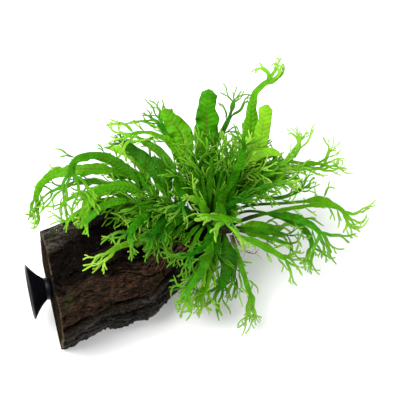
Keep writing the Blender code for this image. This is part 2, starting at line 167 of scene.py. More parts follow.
# How light the fronds are, in the same order: partly each frond's own tone and partly painted
# light and shade
SHADES = {
    "back": (0.5, 0.12, 0.22, None, 0.5, 0.0, 0.45),
    "right": (
        0.5, 0.6, 0.5, 0.5, 0.55, 1.0, 0.5, None, 0.62, 0.9, 0.15, 0.5, 0.5, 0.6, 0.25, 0.25,
        -0.15, 0.45, 0.1,
    ),
    "left": (None, 1.0, None, 0.5, 0.5, 0.95, 0.3, 0.5, 0.85, 0.35, None, 0.85),
    "front": (0.42, -0.2, -0.1, 0.2, 0.1, 0.2, 1.0, 0.7, -0.4),
    "low": (0.28, 0.45, 0.55, 0.12, 0.7, 0.22),
}
FRONDS = [
    frond._replace(name=f"frond_{side}_{number:02}", shade=shade)
    for side, fronds in SIDES.items()
    for number, (frond, shade) in enumerate(zip(fronds, SHADES[side]), 1)
]


class Tuft(NamedTuple):
    """Small fronds between the large ones. Pairs are the first and the last frond's values."""

    name: str
    count: int
    stations: tuple
    headings: tuple
    rises: tuple
    lengths: tuple
    swing: float
    droop: float
    tone: str
    # the shift is partly the tuft's own tone and partly painted light and shade
    shade_shift: float = 0  # how much lighter than by chance
    stem: str = "main"


TUFTS = (
    Tuft("back_thicket", 9, (0.60, 0.80), (118, 78), (40, 65), (22, 34), -15, 20, "dark"),
    Tuft("centre_thicket", 14, (0.64, 0.90), (92, 48), (55, 72), (34, 50), 0, 15, "dark", 0.2),
    Tuft("middle_thicket", 11, (0.02, 0.50), (68, 15), (50, 70), (28, 42), 0, 25, "leaf", 0.05,
        stem="right"),
    Tuft("right_thicket", 9, (0.45, 0.98), (42, 4), (20, 50), (22, 34), -20, 20, "leaf", 0.45,
        stem="right"),
    Tuft("far_left", 4, (0.02, 0.08), (112, 156), (20, 30), (42, 58), 60, 50, "leaf", 0.1),
    Tuft("low_right", 2, (0.97, 1.00), (-18, -26), (5, 15), (34, 40), -10, 40, "leaf", -0.25),
    Tuft("low_front", 4, (0.78, 0.90), (-112, -118), (10, 22), (36, 44), -12, 55, "leaf", 0.15),
    Tuft("front", 5, (0.20, 0.52), (-88, -100), (40, 50), (20, 27), -60, 70, "leaf", -0.3),
    Tuft("left_crown", 6, (0.08, 0.32), (155, 90), (38, 60), (18, 24), 0, 55, "dark", 0.45),
    Tuft("stem_cover", 12, (0.25, 0.78), (172, 150), (40, 60), (16, 24), 10, 30, "dark"),
    Tuft("front_right", 8, (0.52, 0.86), (-165, -105), (35, 55), (17, 25), 0, 50, "dark", 0.1),
    Tuft("front_left", 6, (0.04, 0.36), (172, 205), (25, 45), (16, 26), -10, 50, "dark", 0.9),
)
TUFT_JITTER, TUFT_SWING, TUFT_DROOP = 9, 20, 10  # degrees to each side of the tuft's own
TUFT_WIDTHS = (2.6, 4.4)
TUFT_RANGES = {"fan": (50, 100), "reach": (13, 20), "turn": (-25, 25), "stalk": (0.2, 0.4)}

# Side fingers that aren't left to chance: share of the length, side, slant and length
SIDE_FINGERS = {
    "frond_right_01": (),
    "frond_right_12": ((0.75, 1, 25, 14), (0.9, -1, 25, 12)),
    "frond_front_01": (
        (0.62, -1, 150, 24), (0.67, -1, 95, 24), (0.7, 1, 100, 10), (0.88, -1, 90, 12),
    ),
    "frond_right_04": ((0.85, 1, 30, 12),),
    "frond_right_05": ((0.7, -1, 40, 9), (0.85, 1, 30, 14)),
    "frond_low_02": ((0.55, -1, 35, 24), (0.75, 1, 50, 14)),
    "frond_back_02": (
        (0.78, 1, 35, 18), (0.8, -1, 35, 20), (0.85, -1, 25, 24), (0.9, 1, 30, 18),
        (0.92, -1, 30, 23), (0.97, -1, 10, 24),
    ),
    "frond_right_09": ((0.8, 1, 50, 16), (0.86, -1, 30, 10), (0.93, -1, 30, 12)),
    "frond_left_05": (
        (0.5, -1, 60, 6), (0.6, -1, 50, 7), (0.72, 1, 35, 14), (0.84, -1, 50, 14),
        (0.9, 1, 30, 10),
    ),
    "frond_left_09": ((0.6, -1, 30, 8), (0.8, -1, 30, 9)),
}

# ---- how the leaves are shaped, with angles in degrees

ROW_STEP = 1.3  # millimetres between rows along a blade
LEAST_ROWS = 20
BLADE_STRIPS = {0: 12, 2: 18, 3: 20, 4: 24, 5: 28}  # across a blade, by its end fingers
TUFT_STRIPS = {2: 8, 3: 10, 4: 13}  # the same for the small fronds
LEAF_THICKNESS = 0.42 * MM
FOOT_GAP = 0.8 * MM  # from a stem's skin to the middle of a stalk
STALK_HALF_WIDTHS = (0.75 * MM, 0.95 * MM)  # at the foot, and where the blade starts
TIP_HALF_WIDTH = 0.30 * MM
SWELL_RATE = 2.2  # how soon a blade with fingers is at its full width
NECK_LENGTH = 0.5  # share of the blade
PLAIN_SKEW, PLAIN_FULLNESS = 0.85, 0.75  # exponents of a plain blade's outline
BLUNT_START, BLUNT_LENGTH, BLUNT_LOSS = 0.93, 0.07, 0.8  # how a blunt end rounds off
LEAVING_POWER = 0.6  # how much narrower a blade gets as strips leave it

CAMBER = 0.16  # how far the margins hang, as a share of the half width
BLADE_ROLL = 22
MARGIN_RATE, MARGIN_WAVE = 0.16, 0.32  # a millimetre, and as a share of the half width
RUFFLE_LENGTHS = (4.5, 7.0)  # millimetres
RUFFLE_HEIGHT, RUFFLE_POWER = 0.75, 1.5
VEIN_RATE, VEIN_SLANT = 0.34, 0.9  # side veins a millimetre, and their lean
QUILT_HEIGHT = 0.09 * MM  # between side veins
GROOVE_DEPTH, GROOVE_WIDTH = 0.22 * MM, 0.12  # of the midrib

SIDE_STRIPS = 2
SIDE_COUNTS = (3, 4, 5)
SIDE_START, SIDE_END = 0.35, 0.97  # shares of the blade and of the frond
SIDE_REACH = (0.5, 5)  # share of the end fingers' reach, and millimetres more
SIDE_SLANTS, SIDE_LIFTS, SIDE_CURL = (22, 45), (-15, 10), 40
SIDE_TIP, END_TIP = 0.25, 0.3  # how pale the fingers are where they start

FINGER_STEP = 1.2  # millimetres between rows along a finger
FINGER_HALF_WIDTH, STRIP_HALF_WIDTH = 0.52, 0.12  # millimetres, and more for each strip
FINGER_ROLL, FINGER_CUP, FINGER_TAPER = 35, 0.18, 2.2
WEAVE, WEAVE_RATE = 9, 0.6
SHORTEST_FORK = 3.5  # millimetres that have to be left of a finger for it to fork
FORK_SHARES = (0.3, 0.62)  # of a finger's length
WIDE_FORKS, NARROW_FORKS = (26, 55), (2, 12)
WIDE_REACHES = (0.45, 0.85)
FORK_CURL, FORK_LIFTS = 25, (-10, 14)
FORK_RETURNS = (0.1, 0.7)  # share of a fork's angle that its branch bends back by

# The solids' own draws, which are made again so that the end fingers follow theirs
SOLID_STRETCH, SOLID_STRETCHES = 13, (4, 7)
SOLID_LENGTHS, SOLID_CURLS, SOLID_BEND = (0.85, 1.15), (5, 40), 25

# ---- small helpers


def ease(value):
    value = min(max(value, 0.0), 1.0)
    return value * value * (3 - 2 * value)


def bell(offset, width):
    return exp(-((offset / width) ** 2))


def mix(a, b, share):
    return a + (b - a) * share


def noise_at(x, y, z):
    return noise.noise(Vector((x, y, z)))


def link_object(name, data):
    obj = bpy.data.objects.new(name, data)
    bpy.context.scene.collection.objects.link(obj)
    return obj


def new_object(name, points, faces, material, edges=()):
    mesh = bpy.data.meshes.new(name)
    mesh.from_pydata(points, edges, faces)
    mesh.update()
    mesh.shade_smooth()
    mesh.materials.append(material)
    return link_object(name, mesh)


def add_marks(obj, names, marks):
    """Stores the numbers of each vertex under these names, for the material to read."""
    for name, values in zip(names, zip(*marks)):
        attribute = obj.data.attributes.new(name, "FLOAT", "POINT")
        attribute.data.foreach_set("value", values)


def dress(piece, slot, *nodes):
    """The piece rides with the part and stands for the CAD nodes named, which are hidden. The slot
    is not used.
    """
    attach(piece, "root")
    if nodes:
        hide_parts(*nodes)


# ---- materials

MIX_A, MIX_B, MIX_RESULT = 6, 7, 2  # the colour sockets of a Mix node


def rgba(colour):
    """Red, green and blue made opaque. A socket is handed back as it is."""
    return colour if isinstance(colour, bpy.types.NodeSocket) else (*colour, 1)


class Look:
    """A material that is being built. Its inputs can be sockets or plain values."""

    def __init__(self, name):
        self.material = bpy.data.materials.new(name)
        self.material.use_nodes = True
        self.tree = self.material.node_tree
        self.tree.nodes.clear()

    def add(self, kind, inputs, output=0, **settings):
        """Adds a node and gives one of its outputs."""
        node = self.tree.nodes.new(kind)
        for key, value in settings.items():
            setattr(node, key, value)
        for key, value in inputs.items():
            if isinstance(value, bpy.types.NodeSocket):
                self.tree.links.new(value, node.inputs[key])
            else:
                node.inputs[key].default_value = value
        return node.outputs[output]

    def mark(self, name):
        """The number that the mesh stores at each vertex under this name."""
        return self.add("ShaderNodeAttribute", {}, "Fac", attribute_name=name)

    def calculate(self, operation, *values):
        return self.add("ShaderNodeMath", dict(enumerate(values)), operation=operation)

    def times(self, a, b):
        return self.calculate("MULTIPLY", a, b)

    def remap(self, value, low, high, to_low=0, to_high=1):
        """Takes low..high to to_low..to_high smoothly, and holds the ends."""
        inputs = {"Value": value, "From Min": low, "From Max": high}
        inputs |= {"To Min": to_low, "To Max": to_high}
        return self.add("ShaderNodeMapRange", inputs, interpolation_type="SMOOTHSTEP")

    def blend(self, factor, a, b):
        inputs = {0: factor, MIX_A: rgba(a), MIX_B: rgba(b)}
        return self.add("ShaderNodeMix", inputs, MIX_RESULT, data_type="RGBA")

    def layer(self, colour, *layers):
        """Lays more colours over the first, each by its share."""
        for share, over in layers:
            colour = self.blend(share, colour, over)
        return colour

    def noise(self, scale, detail, roughness=0.55, distortion=0, along=1):
        """Noise in the part's own coordinates. Less than 1 along stretches it along the grain."""
        place = self.add("ShaderNodeTexCoord", {}, "Object")
        place = self.add("ShaderNodeMapping", {"Vector": place, "Scale": (along, 1, 1)})
        inputs = {"Vector": place, "Scale": scale, "Detail": detail}
        inputs |= {"Roughness": roughness, "Distortion": distortion}
        return self.add("ShaderNodeTexNoise", inputs)

    def bump(self, height, strength, distance, **under):
        inputs = {"Height": height, "Strength": strength, "Distance": distance, **under}
        return self.add("ShaderNodeBump", inputs)

    def skin(self, colour, roughness, specular=0.5, **more):
        inputs = {"Base Color": rgba(colour), "Roughness": roughness}
        inputs |= {"Specular IOR Level": specular, **more}
        return self.add("ShaderNodeBsdfPrincipled", inputs)

    def finish(self, surface):
        output = self.tree.nodes.new("ShaderNodeOutputMaterial")
        self.tree.links.new(surface, output.inputs["Surface"])
        return self.material


RIB_BROWN, RIB_SHARE = (0.2, 0.1, 0.02), 0.45
STALK_BROWN = (0.02, 0.04, 0.008)
LIGHT_THROUGH = 0.3  # share of a leaf's light that comes through it


def leaf_look(name, deep, base, light, tip, glow):
    """A wet leaf: dark midrib and side veins, pale forked tips, and light that comes through."""
    look = Look(name)
    across = look.calculate("ABSOLUTE", look.mark("across"))
    tipness, shade = look.mark("tip"), look.mark("shade")
    blotches = look.noise(160, 3)
    paling = look.times(look.remap(tipness, 0.25, 0.95), look.remap(shade, 0, 1, 0.3, 0.95))
    # side veins run forward from the midrib, a few millimetres apart
    forward = look.times(look.mark("along"), VEIN_RATE)
    slanted = look.calculate("SUBTRACT", forward, look.times(across, VEIN_SLANT))
    wave = look.calculate("SINE", look.times(slanted, 2 * pi))
    on_blade = look.remap(tipness, 0.05, 0.3, 1, 0)
    vein = look.times(look.remap(wave, 0.55, 1), on_blade)
    rib_colour = [mix(a, b, RIB_SHARE) for a, b in zip(deep, RIB_BROWN)]
    colour = look.layer(
        look.blend(look.remap(blotches, 0.35, 0.68), deep, base),
        # a frond's shade is partly its own tone and partly painted light and shade
        (look.remap(shade, 0, LIGHTEST, 0, 0.65), light),
        (look.remap(shade, DARKEST, 0, 0.9, 0), deep),
        (paling, tip),
        (look.times(vein, 0.22), deep),
        (look.times(look.remap(across, 0.02, 0.11, 1, 0), on_blade), rib_colour),
        (look.remap(look.mark("stalk"), 0, 1), STALK_BROWN),
    )
    grain = look.times(look.noise(900, 3), 0.35)
    normal = look.bump(look.calculate("ADD", blotches, grain), 0.5, 0.9 * MM)
    normal = look.bump(wave, 0.35, 0.3 * MM, Normal=normal)
    skin = look.skin(colour, look.remap(blotches, 0.3, 0.7, 0.16, 0.36), 0.06, Normal=normal)
    through = look.blend(0.6, colour, glow)
    lit = look.add("ShaderNodeBsdfTranslucent", {"Color": through, "Normal": normal})
    return look.finish(look.add("ShaderNodeMixShader", {0: LIGHT_THROUGH, 1: skin, 2: lit}))


def stem_look():
    look = Look("creeping_stem")
    patches = look.noise(260, 5)
    colour = look.blend(
        look.remap(patches, 0.35, 0.65), (0.01, 0.008, 0.003), (0.03, 0.038, 0.007)
    )
    return look.finish(look.skin(colour, 0.6, 0.1, Normal=look.bump(patches, 0.8, 1.2 * MM)))


def root_look(name, dark, light):
    look = Look(name)
    colour = look.blend(look.remap(look.noise(300, 3), 0.35, 0.65), dark, light)
    return look.finish(look.skin(colour, 0.6))


def rubber_look():
    look = Look("black_rubber_wet")
    smears = look.noise(120, 4)
    colour = look.blend(smears, (0.002, 0.002, 0.003), (0.006, 0.006, 0.009))
    normal = look.bump(look.noise(700, 3), 0.25, 0.3 * MM)
    roughness = look.remap(smears, 0.3, 0.7, 0.25, 0.45)
    return look.finish(look.skin(colour, roughness, 0.12, Normal=normal))


WOOD_BLACK, WOOD_BROWN = (0.006, 0.0035, 0.0017), (0.023, 0.015, 0.0085)
RIDGE_RED = (0.053, 0.023, 0.011)
# the upper shoulder's grey is partly worn wood and partly painted sheen
SHOULDER_GREY_AND_SHEEN, SLAB_GREY = (0.068, 0.058, 0.046), (0.033, 0.035, 0.028)
# fibre lines on top of the grain's own colour: pale on the raised fibres as painted highlight,
# dark in the gaps between them as painted shade
FIBRE_GRAIN_AND_HIGHLIGHT, FIBRE_GAP_AND_SHADE = (0.03, 0.02, 0.012), (0.0015, 0.001, 0.001)
MOSS_GREEN = (0.02, 0.045, 0.004)
# painted shade: near-black laid where the wood lies deep in a hollow
PAINTED_HOLLOW_SHADE = (0.003, 0.0015, 0.0008)
GRIT_DARK, GRIT_PALE = (0.001, 0.0007, 0.0005), (0.06, 0.045, 0.032)
SAWN_EDGE = (0.15, 0.11, 0.065)


def wood_look(name, specular):
    """Waterlogged wood: black hollows of painted shade, a red-brown ridge, grey worn slabs,
    painted sheen on the grey upper shoulder, fibres with painted highlight and shade, and wet all
    over.
    """
    look = Look(name)
    fibres = look.noise(420, 6, 0.6, 0.4, along=0.12)
    streaks = look.noise(90, 5, 0.55, 0.6, along=0.25)
    patches = look.noise(38, 4, along=0.6)
    flecks = look.noise(380, 5, 0.65, 0.5, along=0.7)
    grain = look.noise(300, 6, 0.7, 0.3, along=0.1)
    grit = look.noise(900, 5, 0.7, along=0.5)
    hollow = look.mark("hollow")
    colour = look.layer(
        look.blend(look.remap(streaks, 0.35, 0.65), WOOD_BLACK, WOOD_BROWN),
        (look.times(look.mark("red"), look.remap(flecks, 0.47, 0.6)), RIDGE_RED),
        # worn grey wood with painted sheen on the upper shoulder
        (look.times(look.mark("grey"), look.remap(grain, 0.42, 0.6, 0.1, 1)), SHOULDER_GREY_AND_SHEEN),
        (look.times(look.mark("slab"), look.remap(grain, 0.42, 0.6, 0.1, 0.9)), SLAB_GREY),
        # pale grain on the raised fibres, partly painted highlight
        (look.remap(fibres, 0.58, 0.72, 0, 0.35), FIBRE_GRAIN_AND_HIGHLIGHT),
        (look.remap(look.noise(110, 4), 0.6, 0.68, 0, 0.5), MOSS_GREEN),
        # dark gaps between the fibres, partly painted shade
        (look.remap(fibres, 0.42, 0.3, 0, 0.8), FIBRE_GAP_AND_SHADE),
        # painted shade in the hollows and in the rough pits of the ends
        (hollow, PAINTED_HOLLOW_SHADE),
        (look.remap(grit, 0.52, 0.42, 0, 0.7), GRIT_DARK),
        (look.remap(grit, 0.58, 0.7, 0, 0.5), GRIT_PALE),
        (look.times(look.mark("sawn_edge"), look.remap(patches, 0.35, 0.6)), SAWN_EDGE),
    )
    wetness = look.remap(streaks, 0.3, 0.7, 0.22, 0.5)
    roughness = look.calculate("ADD", wetness, look.times(hollow, 0.3))
    normal = look.bump(fibres, 1, 1.6 * MM)
    normal = look.bump(look.noise(700, 5, 0.65), 0.8, 1 * MM, Normal=normal)
    return look.finish(look.skin(colour, roughness, specular, Normal=normal))


# deep, base, light, tip and the light that comes through
LEAF_COLOURS = {
    "leaf_dark": (
        (0.005, 0.060, 0.001), (0.014, 0.150, 0.001), (0.100, 0.430, 0.004),
        (0.26, 0.60, 0.030), (0.06, 0.45, 0.001),
    ),
    "leaf": (
        (0.014, 0.125, 0.001), (0.044, 0.275, 0.001), (0.240, 0.640, 0.010),
        (0.46, 0.80, 0.080), (0.15, 0.66, 0.002),
    ),
    "leaf_young": (
        (0.038, 0.230, 0.001), (0.115, 0.440, 0.002), (0.420, 0.740, 0.040),
        (0.58, 0.82, 0.120), (0.30, 0.76, 0.004),
    ),
}
LEAF_LOOKS = {slot: leaf_look(slot + "_wet", *tones) for slot, tones in LEAF_COLOURS.items()}
LEAF_SLOTS = {"dark": "leaf_dark", "leaf": "leaf", "young": "leaf_young"}
STEM_LOOK = stem_look()
ROOT_LOOK = root_look("fine_root", (0.1, 0.03, 0.014), (0.42, 0.2, 0.12))
OLD_ROOT_LOOK = root_look("old_root", (0.016, 0.011, 0.003), (0.11, 0.045, 0.01))
RUBBER_LOOK = rubber_look()
WOOD_LOOK = wood_look("driftwood_wet", 0.04)
SAWN_LOOK = wood_look("driftwood_sawn", 0)

# ---- fronds

LEAF_MARKS = ("across", "along", "tip", "stalk", "shade")


class Sheet:
    """The skin of fronds: its points, faces and the numbers that its material reads."""

    def __init__(self):
        self.points = []
        self.faces = []
        self.marks = []
        self.shade = 0.5  # how light the frond that is being grown is

    def add_row(self, points, across, along, tip, stalk=0.0):
        first = len(self.points)
        self.points.extend(points)
        self.marks.extend((spot, along, tip, stalk, self.shade) for spot in across)
        return list(range(first, len(self.points)))

    def join(self, row, next_row):
        self.faces.extend(zip(row, row[1:], next_row[1:], next_row))


def point_on_stem(stem, station):
    """The point at a share of the stem's length, and the direction there, in millimetres."""
    points = [Vector(point) for point in STEMS[stem][1]]
    lengths = [(b - a).length for a, b in zip(points, points[1:])]
    left = station * sum(lengths)
    for start, end, length in zip(points, points[1:], lengths):
        if left <= length:
            break
        left -= length
    direction = (end - start).normalized()
    return start + direction * min(left, length), direction


def spine_direction(frond, share):
    """(along, side, up) of the frond at a share of its length."""
    sway = frond.sway * sin(2 * pi * share)
    heading = radians(frond.heading + frond.swing * share + sway)
    rise = radians(frond.rise - frond.droop * share)
    level = cos(rise)
    along = Vector((cos(heading) * level, sin(heading) * level, sin(rise)))
    side = Vector((-sin(heading), cos(heading), 0))
    return along, side, along.cross(side)


def foot_of(frond):
    """Where the stalk starts: just clear of the stem's skin, on the side it grows towards."""
    centre, direction = point_on_stem(frond.stem, frond.station)
    along, _, _ = spine_direction(frond, 0)
    outward = (along - direction * along.dot(direction)).normalized()
    return (centre + outward * STEMS[frond.stem][0]) * MM + outward * FOOT_GAP


def turned(along, side, up, sideways, upwards):
    """The axes after a turn about up and then a pitch about side, in degrees."""
    yaw = Matrix.Rotation(radians(sideways), 3, up)
    along, side = yaw @ along, yaw @ side
    pitch = Matrix.Rotation(radians(-upwards), 3, side)
    return pitch @ along, side, pitch @ up


def rolled(along, side, up, angle):
    """The axes after a roll about along, in degrees."""
    roll = Matrix.Rotation(radians(angle), 3, along)
    return along, roll @ side, roll @ up


def blade_half_width(frond, share):
    """Half the width: a stalk, then a blade that ends in a point or stays wide to split."""
    stalk_half = mix(*STALK_HALF_WIDTHS, min(share / frond.stalk, 1))
    if share <= frond.stalk:
        return stalk_half
    share = (share - frond.stalk) / (1 - frond.stalk)
    if frond.fingers:
        narrowing = ease((share - frond.neck) / NECK_LENGTH)
        swell = min(1, SWELL_RATE * sin(pi * share / 2))
        return mix(stalk_half, frond.width * MM / 2, swell * mix(1, frond.end, narrowing))
    shape = sin(pi * share**PLAIN_SKEW) ** PLAIN_FULLNESS
    if share > 0.5:
        rounding = ease((share - BLUNT_START) / BLUNT_LENGTH)
        shape = max(shape, frond.blunt * (1 - rounding * BLUNT_LOSS))
    return mix(mix(stalk_half, TIP_HALF_WIDTH, share), frond.width * MM / 2, shape)


def spots_across(strips):
    """Where a row's points lie, from -1 at one margin to 1 at the other."""
    return [2 * strip / strips - 1 for strip in range(strips + 1)]


def grow_finger(sheet, row, axes, length, bend, curl, rng, tip_from, breadth):
    """Grows a finger from a row of points. It forks into fewer strips each, down to one strip."""
    strips = len(row) - 1
    spots = spots_across(strips)
    first, last = sheet.points[row[0]], sheet.points[row[-1]]
    place = (first + last) / 2
    start_half = (last - first).length / 2
    own_half = (FINGER_HALF_WIDTH + STRIP_HALF_WIDTH * strips) * breadth * MM
    steps = max(3, round(length / FINGER_STEP))
    forks = strips > 1 and length > SHORTEST_FORK
    fork_step = max(2, round(steps * rng.uniform(*FORK_SHARES))) if forks else steps
    roll_rate = rng.uniform(-FINGER_ROLL, FINGER_ROLL) / steps
    wobble = rng.uniform(0, 2 * pi)
    for step in range(1, fork_step + 1):
        share = step / steps
        weave = WEAVE * sin(wobble + step * WEAVE_RATE)
        axes = turned(*axes, bend / steps + weave, curl / steps)
        axes = rolled(*axes, roll_rate)
        place = place + axes[0] * length * MM / steps
        half = mix(start_half, own_half, ease(step / 3))
        if not forks:
            half = mix(half, TIP_HALF_WIDTH, share**FINGER_TAPER)
        cup = FINGER_CUP * half
        points = [place + axes[1] * half * x - axes[2] * cup * x * x for x in spots]
        across = [0.5 + 0.5 * abs(x) for x in spots]
        made = sheet.add_row(points, across, share * length, mix(tip_from, 1.0, share))
        sheet.join(row, made)
        row = made
    if forks:
        left = 1 - fork_step / steps
        tip = mix(tip_from, 1.0, fork_step / steps)
        fork_finger(sheet, row, axes, length * left, bend * left, curl * left, rng, tip, breadth)


def fork_finger(sheet, row, axes, length, bend, curl, rng, tip, breadth):
    """Splits a finger in two, one of which leaves at a wide angle and is shorter."""
    strips = len(row) - 1
    cut = strips // 2 + (rng.choice((0, 1)) if strips % 2 else 0)
    wide, narrow = rng.uniform(*WIDE_FORKS), rng.uniform(*NARROW_FORKS)
    angles = (wide, narrow) if rng.random() < 0.5 else (narrow, wide)
    reaches = [1.0 if angle == narrow else rng.uniform(*WIDE_REACHES) for angle in angles]
    for part, sign, angle, reach in zip((row[: cut + 1], row[cut:]), (-1, 1), angles, reaches):
        own_curl = curl + rng.uniform(-FORK_CURL, FORK_CURL)
        own_axes = turned(*axes, sign * angle, rng.uniform(*FORK_LIFTS))
        own_bend = bend - sign * angle * rng.uniform(*FORK_RETURNS)
        own_length = length * reach
        grow_finger(sheet, part, own_axes, own_length, own_bend, own_curl, rng, tip, breadth)


def side_fingers(frond, rng):
    """The fingers that leave the blade's sides, as SIDE_FINGERS gives them."""
    if not frond.fingers:
        return []
    if frond.name in SIDE_FINGERS:
        return list(SIDE_FINGERS[frond.name])
    count = rng.choice(SIDE_COUNTS)
    start = mix(frond.stalk, 1, SIDE_START)
    longest = SIDE_REACH[0] * frond.reach + SIDE_REACH[1]
    side = rng.choice((-1, 1))
    fingers = []
    for number in range(count):
        share = mix(start, SIDE_END, (number + rng.uniform(0.1, 0.9)) / count)
        reach = longest * rng.uniform(0.5, 1.0)
        fingers.append((share, side, rng.uniform(*SIDE_SLANTS), reach))
        side = -side
    return fingers


class Folds:
    """How a blade rolls, and how its margins wave and ruffle."""

    def __init__(self, rng):
        self.roll = rng.uniform(-BLADE_ROLL, BLADE_ROLL)
        self.ruffle_phases = (rng.uniform(0, 7), rng.uniform(0, 7))
        self.ruffle_length = rng.uniform(*RUFFLE_LENGTHS)
        self.margin_seeds = (rng.uniform(0, 50), rng.uniform(0, 50))

    def lie(self, frond, share, half, x):
        """The half width and the height at a share of the frond's length and at x across it."""
        distance = share * frond.length
        bladeness = ease((share - frond.stalk) / 0.15)
        calm = 1 - 0.8 * ease((share - 0.9) / 0.1)
        margin = 0 if x < 0 else 1
        wave = noise_at(distance * MARGIN_RATE, self.margin_seeds[margin], 0)
        wide = half * (1 + MARGIN_WAVE * wave * bladeness * calm)
        ruffle = noise_at(distance / self.ruffle_length, self.ruffle_phases[margin], 3)
        lift = RUFFLE_HEIGHT * half * ruffle * abs(x) ** RUFFLE_POWER * bladeness * calm
        veins = sin(2 * pi * (distance * VEIN_RATE - abs(x) * VEIN_SLANT))
        quilt = QUILT_HEIGHT * veins * bladeness * (1 - x * x)
        groove = -GROOVE_DEPTH * bell(x, GROOVE_WIDTH) * bladeness
        return wide, lift + quilt + groove - CAMBER * half * x * x


def grow_blade(sheet, frond, all_strips, rng):
    """Grows the stalk and blade. Gives the last row, its axes and where side fingers start."""
    rows = max(LEAST_ROWS, round(frond.length / ROW_STEP))
    most_leaving = (all_strips - 2 * frond.fingers) // SIDE_STRIPS
    leaving = sorted(side_fingers(frond, rng))[:most_leaving]
    folds = Folds(rng)
    strips = all_strips
    place = foot_of(frond)
    row = None
    starts = []
    for number in range(rows + 1):
        share = number / rows
        if number:
            middle = (number - 0.5) / rows
            place = place + spine_direction(frond, middle)[0] * frond.length * MM / rows
        axes = rolled(*spine_direction(frond, share), folds.roll * sin(pi * share))
        half = blade_half_width(frond, share) * (strips / all_strips) ** LEAVING_POWER
        spots = spots_across(strips)
        points = []
        for x in spots:
            wide, height = folds.lie(frond, share, half, x)
            points.append(place + axes[1] * wide * x + axes[2] * height)
        tip = END_TIP * ease((share - 0.5) / 0.5)
        stalk = 1 - ease((share - 0.35 * frond.stalk) / (0.8 * frond.stalk))
        made = sheet.add_row(points, spots, share * frond.length, tip, stalk)
        if row:
            sheet.join(row, made)
        row = made
        while leaving and share >= leaving[0][0] and number < rows:
            _, side, slant, reach = leaving.pop(0)
            if side < 0:
                part, row = row[: SIDE_STRIPS + 1], row[SIDE_STRIPS:]
            else:
                part, row = row[-SIDE_STRIPS - 1 :], row[:-SIDE_STRIPS]
            strips -= SIDE_STRIPS
            starts.append((part, side * slant, reach, axes))
    return row, axes, starts


def grow_end_fingers(sheet, frond, row, axes, rng, breadth):
    """Grows the fingers that the blade splits into, as long and as bent as the solid's."""
    solid_rng = random.Random(frond.name)
    least, most = SOLID_STRETCHES
    for _ in range(min(max(round(frond.length / SOLID_STRETCH), least), most) - 1):
        solid_rng.random()
    strips = len(row) - 1
    cuts = [round(strips * finger / max(frond.fingers, 1)) for finger in range(frond.fingers + 1)]
    for finger, (start, end) in enumerate(zip(cuts, cuts[1:])):
        slant = frond.fan * (finger / (frond.fingers - 1) - 0.5)
        length = frond.reach * solid_rng.uniform(*SOLID_LENGTHS) * frond.trim
        curl = -solid_rng.uniform(*SOLID_CURLS)
        bend = frond.turn + solid_rng.uniform(-SOLID_BEND, SOLID_BEND)
        own_axes = turned(*axes, slant, 0)
        part = row[start : end + 1]
        grow_finger(sheet, part, own_axes, length, bend, curl, rng, END_TIP, breadth)


def grow_frond(sheet, frond, strips, shade_shift=0.0):
    """Adds the frond's skin to the sheet, before it is given its thickness."""
    shade = frond.shade
    if shade is None:
        shade = random.Random(frond.name + "_shade").uniform(*SHADE_RANGES[frond.tone])
    sheet.shade = min(max(shade + shade_shift, DARKEST), LIGHTEST)
    rng = random.Random(frond.name + "_look")
    breadth = frond.breadth or min(1.0, 0.4 + 0.1 * frond.width)
    row, axes, starts = grow_blade(sheet, frond, strips, rng)
    for part, slant, reach, side_axes in starts:
        side_axes = turned(*side_axes, slant, rng.uniform(*SIDE_LIFTS))
        curl = -rng.uniform(0, SIDE_CURL)
        grow_finger(sheet, part, side_axes, reach, -0.5 * slant, curl, rng, SIDE_TIP, breadth)
    grow_end_fingers(sheet, frond, row, axes, rng, breadth)


def leaf_object(name, sheet, tone):
    leaf = new_object(name, sheet.points, sheet.faces, LEAF_LOOKS[LEAF_SLOTS[tone]])
    add_marks(leaf, LEAF_MARKS, sheet.marks)
    thickness = leaf.modifiers.new("Thickness", "SOLIDIFY")
    thickness.thickness = LEAF_THICKNESS
    thickness.offset = 0
    return leaf


def build_frond(frond):
    sheet = Sheet()
    grow_frond(sheet, frond, BLADE_STRIPS[frond.fingers])
    leaf = leaf_object(frond.name + "_blade", sheet, frond.tone)
    dress(leaf, LEAF_SLOTS[frond.tone], frond.name)


def tuft_frond(tuft, number, rng):
    """The small frond of that number, spread evenly through the tuft and then nudged."""
    share = number / (tuft.count - 1)
    return Frond(
        name=f"{tuft.name}_{number}",
        stem=tuft.stem,
        station=mix(*tuft.stations, share),
        heading=mix(*tuft.headings, share) + rng.uniform(-TUFT_JITTER, TUFT_JITTER),
        rise=rng.uniform(*tuft.rises),
        length=rng.uniform(*tuft.lengths),
        swing=tuft.swing + rng.uniform(-TUFT_SWING, TUFT_SWING),
        droop=tuft.droop + rng.uniform(-TUFT_DROOP, TUFT_DROOP),
        width=rng.uniform(*TUFT_WIDTHS),
        fingers=rng.choice(tuple(TUFT_STRIPS)),
        **{key: rng.uniform(*limits) for key, limits in TUFT_RANGES.items()},
        tone=tuft.tone,
    )


def build_tuft(tuft):
    rng = random.Random(tuft.name)
    sheet = Sheet()
    for number in range(tuft.count):
        frond = tuft_frond(tuft, number, rng)
        grow_frond(sheet, frond, TUFT_STRIPS[frond.fingers], tuft.shade_shift)
    leaves = leaf_object(f"small_fronds_{tuft.name}", sheet, tuft.tone)
    dress(leaves, LEAF_SLOTS[tuft.tone])


# ---- driftwood

WOOD_START = -57.5
CUT_LEAN = 0.15  # slope of the cut face, whose foot sticks out
CUT_LEAN_LENGTH = 40  # millimetres from the cut over which the lean dies away
CUP_CENTRE = (2.0, 36.0)  # Y and Z of the cup's axis on the cut face
WOOD_SQUARENESS = 2.7
